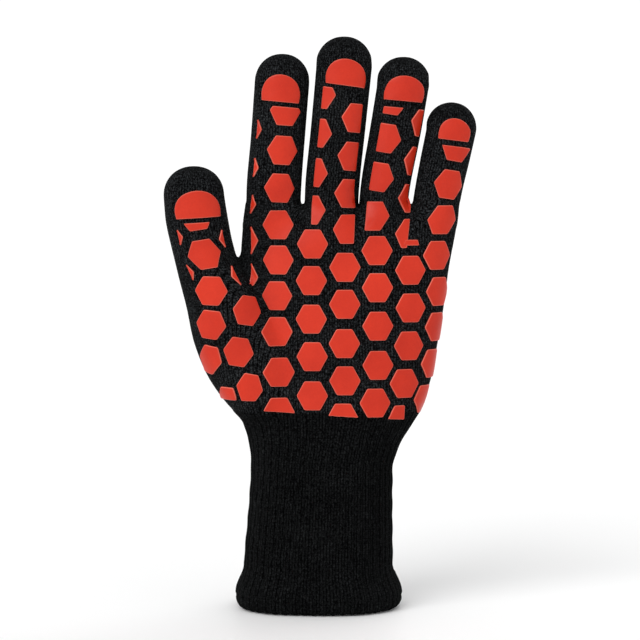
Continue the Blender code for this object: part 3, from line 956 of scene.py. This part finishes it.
class Print:
    """Collects pads and lays them on the knit."""

    def __init__(self, tree):
        self.tree = tree
        self.vertices = []
        self.faces = []
        self.edge = []

    def lay(self, flat, form, seen, flat_below, away):
        """Points of the print at (across, height) on the knit, and the way each one faces.

        Across is a length along the form, from its middle or from where it is seen at an X.
        Below a height it turns into a plain distance in X. Away is how far off the form its
        rays start. A pad spans the knit's small folds and bridges what its rays miss.
        """
        plain, hits, facing = [], [], []
        ahead = Vector((0, -1, 0))
        for across, z in flat:
            if seen is not None:
                across = form.length_at(seen, z) + across - seen
            angle = form.angle_at(across, z)
            level = np.array([z])
            point = Vector(form.points(level, np.array([angle]))[0])
            centre, _, half_width, half_depth = form.at(level)
            way = Vector((cos(angle) / half_width[0], sin(angle) / half_depth[0], 0)).normalized()
            reach = away
            if flat_below:
                share = float(smooth_step(z, flat_below - 5.0, flat_below + 7.0))
                straight = Vector((centre[0] + across, IN_FRONT, z))
                point = straight.lerp(point, share)
                way = ahead.lerp(way, share * share).normalized()
                reach = 1.5 + 14.0 * (1 - share) ** 2
            hit, normal, _, _ = self.tree.ray_cast((point + way * reach) * MM, -way, 30 * MM)
            missed = hit is None or normal.dot(way) < 0
            plain.append(point)
            hits.append((np.nan,) * 3 if missed else hit / MM)
            facing.append(way if missed else normal + way * 0.6)
        plain, hits, facing = np.array(plain), np.array(hits), np.array(facing)
        a, b = ((flat - flat.mean(axis=0)) / 10).T
        terms = np.stack([np.ones_like(a), a, b, a * a, a * b, b * b], axis=1)
        gap = hits - plain
        good = np.isfinite(gap[:, 0])
        if good.sum() < 12:
            return plain, facing
        for limit in FIT_LIMITS:
            fit = np.linalg.lstsq(terms[good], gap[good], rcond=None)[0]
            left = np.nan_to_num(gap - terms @ fit, nan=9.0)
            size = np.linalg.norm(left, axis=1)
            near = size < limit
            if near.sum() < 0.6 * len(size):
                break
            good = near
        follow = np.maximum(size - SPANNED, 0.0) / np.maximum(size, 1e-6)
        follow = np.where(size > STRAY, 0.0, follow)
        slope = np.linalg.lstsq(terms[:, :3], facing, rcond=None)[0]
        facing = terms[:, :3] @ slope
        facing = facing / np.linalg.norm(facing, axis=1, keepdims=True)
        return plain + terms @ fit + left * follow[:, None], facing

    def add(self, polygon, form, seen=None, flat_below=None, corner=PAD_CORNER, away=1.2):
        """Adds one pad with a flat skirt in the knit, a round edge and a slightly hollow top."""
        if len(polygon) < 3 or abs(area(polygon)) < SMALLEST_PAD:
            return
        if area(polygon) < 0:
            polygon = list(reversed(polygon))
        outline = rounded(polygon, corner)
        centre = outline.mean(axis=0)
        top = inset(outline, PAD_BEVEL)
        # Each ring's third value weights the pad's pale rim: partly worn silicone, partly a painted
        # highlight on the bevel.
        rings = [
            (outline, -PAD_SINK, 0.6),
            (outline, PAD_RISE * 0.45, 1.0),
            (inset(outline, PAD_BEVEL * 0.35), PAD_RISE * 0.86, 1.0),
            (top, PAD_RISE, 0.25),
        ]
        rings += [(centre + (top - centre) * part, PAD_RISE * rise, 0.0)
                  for part, rise in ((0.93, 0.98), (0.62, 0.95), (0.31, 0.94))]
        rings.append((centre[None, :], PAD_RISE * 0.94, 0.0))
        flat = np.concatenate([ring for ring, _, _ in rings])
        rise = np.concatenate([np.full(len(ring), height) for ring, height, _ in rings])
        places, facing = self.lay(flat, form, seen, flat_below, away)
        count = len(outline)
        start = len(self.vertices)
        self.vertices += list((places + facing * rise[:, None]) * MM)
        for ring, _, brightness in rings:
            self.edge += [brightness] * len(ring)
        quads = grid_faces(len(rings) - 1, count, True)
        self.faces += [tuple(start + index for index in face) for face in quads]
        last = start + (len(rings) - 2) * count
        middle = last + count
        for index in range(count):
            self.faces.append((last + index, last + (index + 1) % count, middle))


# Columns of the palm's print: where each pad is seen in X, and its height.
PALM_COLUMNS = (
    ((-23.8, 220.6), (-23.8, 200.8), (-24.6, 180.6), (-24.4, 160.4), (-23.2, 137.6),
     (-23.2, 115.0)),
    ((-4.2, 209.9), (-4.8, 189.3), (-4.9, 167.6), (-4.4, 146.4), (-4.3, 124.3)),
    ((14.1, 196.8), (14.0, 176.0), (13.8, 153.8), (14.1, 132.8), (12.9, 111.8)),
    ((32.2, 206.2), (32.5, 185.3), (32.7, 163.6), (32.8, 141.4), (31.2, 120.1)),
    ((51.2, 195.0), (51.4, 173.7), (50.4, 152.2), (47.9, 130.8)),
)
# The column that wraps round the palm's edge: where its left corners are seen.
EDGE_COLUMN = ((58.2, 203.2), (60.0, 182.6), (59.4, 162.4), (57.2, 141.4), (53.2, 121.0))
# The cut pad at the foot of the next column, and the line that ends it.
LAST_PAD = (46.8, 110.2)
LAST_PAD_EDGE = (1.0, 0.0, 48.6)
# Lines across the wrist and below the thumb's mound that the print stops above.
PRINT_END = (-0.068, -1.0, -113.4)
MOUND_END = (0.0, -1.0, -121.3)
HAND_FROM = -15.0          # left of this the print lies on palm and mound together
# The foot of the last ring finger pad, which turns into the gap to the little finger.
CREASE_FOOT = ((47.2, 209.0), (56.2, 209.0), (55.4, 212.2), (48.0, 212.2))

# Slivers beside the index finger's column, cut off at the print's edge.
SLIVERS = (211.6, 190.8)
SLIVER_X = -43.4
SLIVER_EDGE = 38.9

# Pads of the thumb's mound: where each is seen in X, its height, turn in degrees and width.
MOUND_PADS = (
    (-41.0, 172.6, 8.0, 0.95), (-46.0, 149.4, 8.0, 0.98), (-39.8, 128.8, 9.0, 0.86),
    (-61.4, 183.8, 2.0, 1.07), (-61.8, 164.6, 6.0, 1.06), (-62.6, 144.4, 9.0, 0.98),
    (-53.0, 120.7, 2.0, 0.96),
)


def print_palm(sheet):
    """The pads of the palm, its edge, the thumb's mound and the slivers at the left."""
    for column in PALM_COLUMNS:
        for x, z in column:
            form = HAND if x < HAND_FROM else PALM
            sheet.add(clip(hexagon(x, z), [PRINT_END]), form, seen=x, away=12.0)
    for left, z in EDGE_COLUMN:
        outline = hexagon(left + PAD_POINTS / 2, z)
        widest = float(PALM.points(np.array([z]), np.array([0.0]))[0][0])
        edge = left + PALM.length_at(widest - 0.1, z) - PALM.length_at(left, z) - 0.6
        sheet.add(clip(outline, [PRINT_END, (1.0, 0.0, edge)]), PALM, seen=left, away=9.0)
    outline = clip(hexagon(*LAST_PAD), [PRINT_END, LAST_PAD_EDGE])
    sheet.add(outline, PALM, seen=LAST_PAD[0] - 6.0, away=9.0)
    sheet.add(list(CREASE_FOOT), PALM, seen=CREASE_FOOT[0][0], corner=0.5, away=12.0)
    for x, z, turn, width in MOUND_PADS:
        outline = [(x + (a - x) * width, b) for a, b in hexagon(x, z, -turn)]
        sheet.add(clip(outline, [MOUND_END]), THUMB, seen=x, away=9.0)
    for z in SLIVERS:
        polygon = clip(hexagon(SLIVER_X, z), [(-1.0, 0.0, SLIVER_EDGE)])
        sheet.add(polygon, PALM, seen=-SLIVER_EDGE, corner=0.6, away=5.0)


# A digit's print: its columns, each with its distance from the digit's middle and its pads'
# heights, then the stencil's left and right edge and its top, and the tip pad's left, right, low
# and top, and how its lower edge falls to the right.
FINGER_PRINTS = {
    "index": (((3.4, (241.4, 262.7, 284.8)), (-18.6, (232.2, 253.4, 275.0))),
              (-12.8, 14.6), 287.4, (-11.6, 11.2, 290.0, 305.4, 0.09)),
    "middle": (((-12.1, (229.0, 250.3, 272.6, 294.4)), (10.1, (218.2, 238.2, 259.2, 280.8))),
               (-11.2, 13.4), 297.4, (-10.3, 13.8, 299.4, 314.4, 0.13)),
    "ring": (((-5.2, (225.6, 247.7, 269.6, 291.0)), (16.7, (215.7, 235.2, 256.2, 278.2))),
             (-9.6, 15.5), 286.8, (-11.0, 13.2, 290.6, 304.8, 0.087)),
    "little": (((5.0, (223.4, 243.4, 264.6)),),
               (-12.0, 14.2), 265.4, (-7.4, 11.6, 268.6, 280.9, 0.12)),
    "thumb": (((0.8, (204.4, 226.0)), (21.3, (214.0,)), (21.0, (193.2,)), (-19.0, (212.6, 193.0))),
              (-11.9, 14.6), 222.0, (-11.6, 15.8, 224.6, 240.0, -0.06)),
}
FLAT_BELOW = CROTCH + 2.0  # lower pads of the fingers lie on the palm


def leaning(outline, form, across, z):
    """Turns an outline round its own middle to stand along a leaning digit."""
    lean = form.lean * PAD_LEAN
    if form is not THUMB:
        lean *= float(smooth_step(z, CROTCH - 8.0, CROTCH + 16.0))
    return [(across + a / cos(lean), z - a * sin(lean) + b * cos(lean)) for a, b in outline]


def half_moon(left, right, height):
    """Outline of a fingertip pad on its lower edge: an arch on a straight foot."""
    centre = (left + right) / 2
    half = (right - left) / 2
    shoulder = height * 0.26
    outline = [(left + 0.5, 0.0), (right - 0.5, 0.0)]
    for step in range(15):
        angle = pi * step / 14
        outline.append((centre + half * cos(angle), shoulder + (height - shoulder) * sin(angle)))
    return outline


def print_digit(sheet, name):
    """The cut columns and the half-moon tip of one digit."""
    form = DIGIT_FORMS[name]
    columns, (left, right), stencil_top, tip = FINGER_PRINTS[name]
    tip_left, tip_right, low, top, fall = tip
    keep = [(-1.0, 0.0, -left), (1.0, 0.0, right), (fall, 1.0, stencil_top)]
    free = name in ("thumb", "little")       # nothing stands close beside their print
    flat_below = None if free else FLAT_BELOW
    away = 5.0 if name == "little" else 1.6
    width = 1.1 if name == "thumb" else 1.0
    for across, heights in columns:
        for z in heights:
            outline = [(a * width, b) for a, b in hexagon(0.0, 0.0)]
            polygon = clip(leaning(outline, form, across, z), keep)
            sheet.add(polygon, form, flat_below=flat_below, corner=0.7, away=away)
    moon = [(a, low - a * fall + b) for a, b in half_moon(tip_left, tip_right, top - low)]
    sheet.add(moon, form, corner=0.5)


# ---- stage, light and camera

CAMERA_DISTANCE = 1.5
CAMERA_HEIGHT = 0.285
AIM_HEIGHT = 0.1655
PICTURE_WIDTH = 0.3655     # what the picture spans at the glove


def build_stage():
    """A white floor and a studio that is bright below the horizon and softer above."""
    bpy.ops.mesh.primitive_circle_add(vertices=96, radius=6.0, fill_type="NGON")
    floor = bpy.context.object
    floor.name = "floor"
    pale = Nodes("pale_floor").finish({
        "Base Color": (0.94, 0.94, 0.94, 1), "Roughness": 0.5, "Specular IOR Level": 0.2})
    floor.data.materials.append(pale)
    n = Nodes("studio", bpy.data.worlds)
    height = n.split(n.place("Generated"))["Z"]
    colour = n.ramp(height, ((0.25, (1, 1, 1)), (0.75, (0.50, 0.50, 0.50))))
    bpy.context.scene.world = n.finish({"Color": colour, "Strength": 1.06})
    bpy.context.scene.view_settings.view_transform = "Standard"


def add_sun(name, towards, angle, strength):
    """A broad soft light that comes from a direction."""
    data = bpy.data.lights.new(name, "SUN")
    data.energy = strength
    data.angle = radians(angle)
    light = link(bpy.data.objects.new(name, data))
    light.rotation_mode = "QUATERNION"
    light.rotation_quaternion = Vector(towards).to_track_quat("Z", "Y")


def build_camera():
    """A long view of the palm from a little above its middle."""
    data = bpy.data.cameras.new("camera")
    data.lens = 50.0
    data.sensor_width = 50.0 * PICTURE_WIDTH / CAMERA_DISTANCE
    camera = link(bpy.data.objects.new("camera", data))
    camera.location = (0, -CAMERA_DISTANCE, CAMERA_HEIGHT)
    aim = Vector((0, 0, AIM_HEIGHT)) - camera.location
    camera.rotation_mode = "QUATERNION"
    camera.rotation_quaternion = aim.to_track_quat("-Z", "Y")
    bpy.context.scene.camera = camera


# ---- putting it together

build_camera()
build_stage()
add_sun("key", (-0.50, -0.62, 0.64), 42.0, 1.7)
add_sun("rim", (0.45, 0.70, 0.60), 50.0, 0.6)

BLACK_KNIT = knit_material("black_knit", (0.0003, 0.0003, 0.0004), (0.056, 0.061, 0.065),
                           flecks=2.1, sheen=0.004)
BLACK_RIB = knit_material("black_rib", (0.0001, 0.0001, 0.0002), (0.026, 0.028, 0.029),
                          flecks=1.7, sheen=0.002)
SILICONE = silicone_material()
COTTON = liner_material()

hand = knitted_hand()
bm = bmesh.new()
bm.from_mesh(hand)
hand_tree = BVHTree.FromBMesh(bm)
bm.free()

shells = split_in_stretches(hand, "shell", SHELL_BOTTOM)
for key, shell in shells.items():
    add_stitches(shell, key[0])
    dress(shell, BLACK_KNIT)
    fix_to_bodies(shell, key)
    stem = stem_of(key)
    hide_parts(stem + "_knit")
    if stem != "palm":
        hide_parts(stem + "_liner")

cuff = cuff_surface(hand_tree)
dress(cuff, BLACK_RIB)
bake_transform(cuff)
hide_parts("cuff_knit")

hem = hem_surface()
dress(hem, BLACK_RIB)
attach(hem, "cuff")
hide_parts("cuff_hem")

lining = liner_surface()
dress(lining, COTTON)
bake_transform(lining)
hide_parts("cuff_liner", "palm_liner")

sheet = Print(hand_tree)
print_palm(sheet)
for name in DIGITS:
    print_digit(sheet, name)
print_object = mesh_object("print", sheet.vertices, sheet.faces)
write_edge(print_object.data, sheet.edge)
pads = split_in_stretches(print_object.data, "pads")
bpy.data.objects.remove(print_object)
nodes = frame["nodes"]
for key, pad in pads.items():
    dress(pad, SILICONE)
    fix_to_bodies(pad, key)
    digit, number = key
    if digit == "palm":
        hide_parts(*[name for name in nodes if name.startswith("palm_pad")])
    elif stretch_name(digit, number) == "tip":
        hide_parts(f"{digit}_tip_pad")
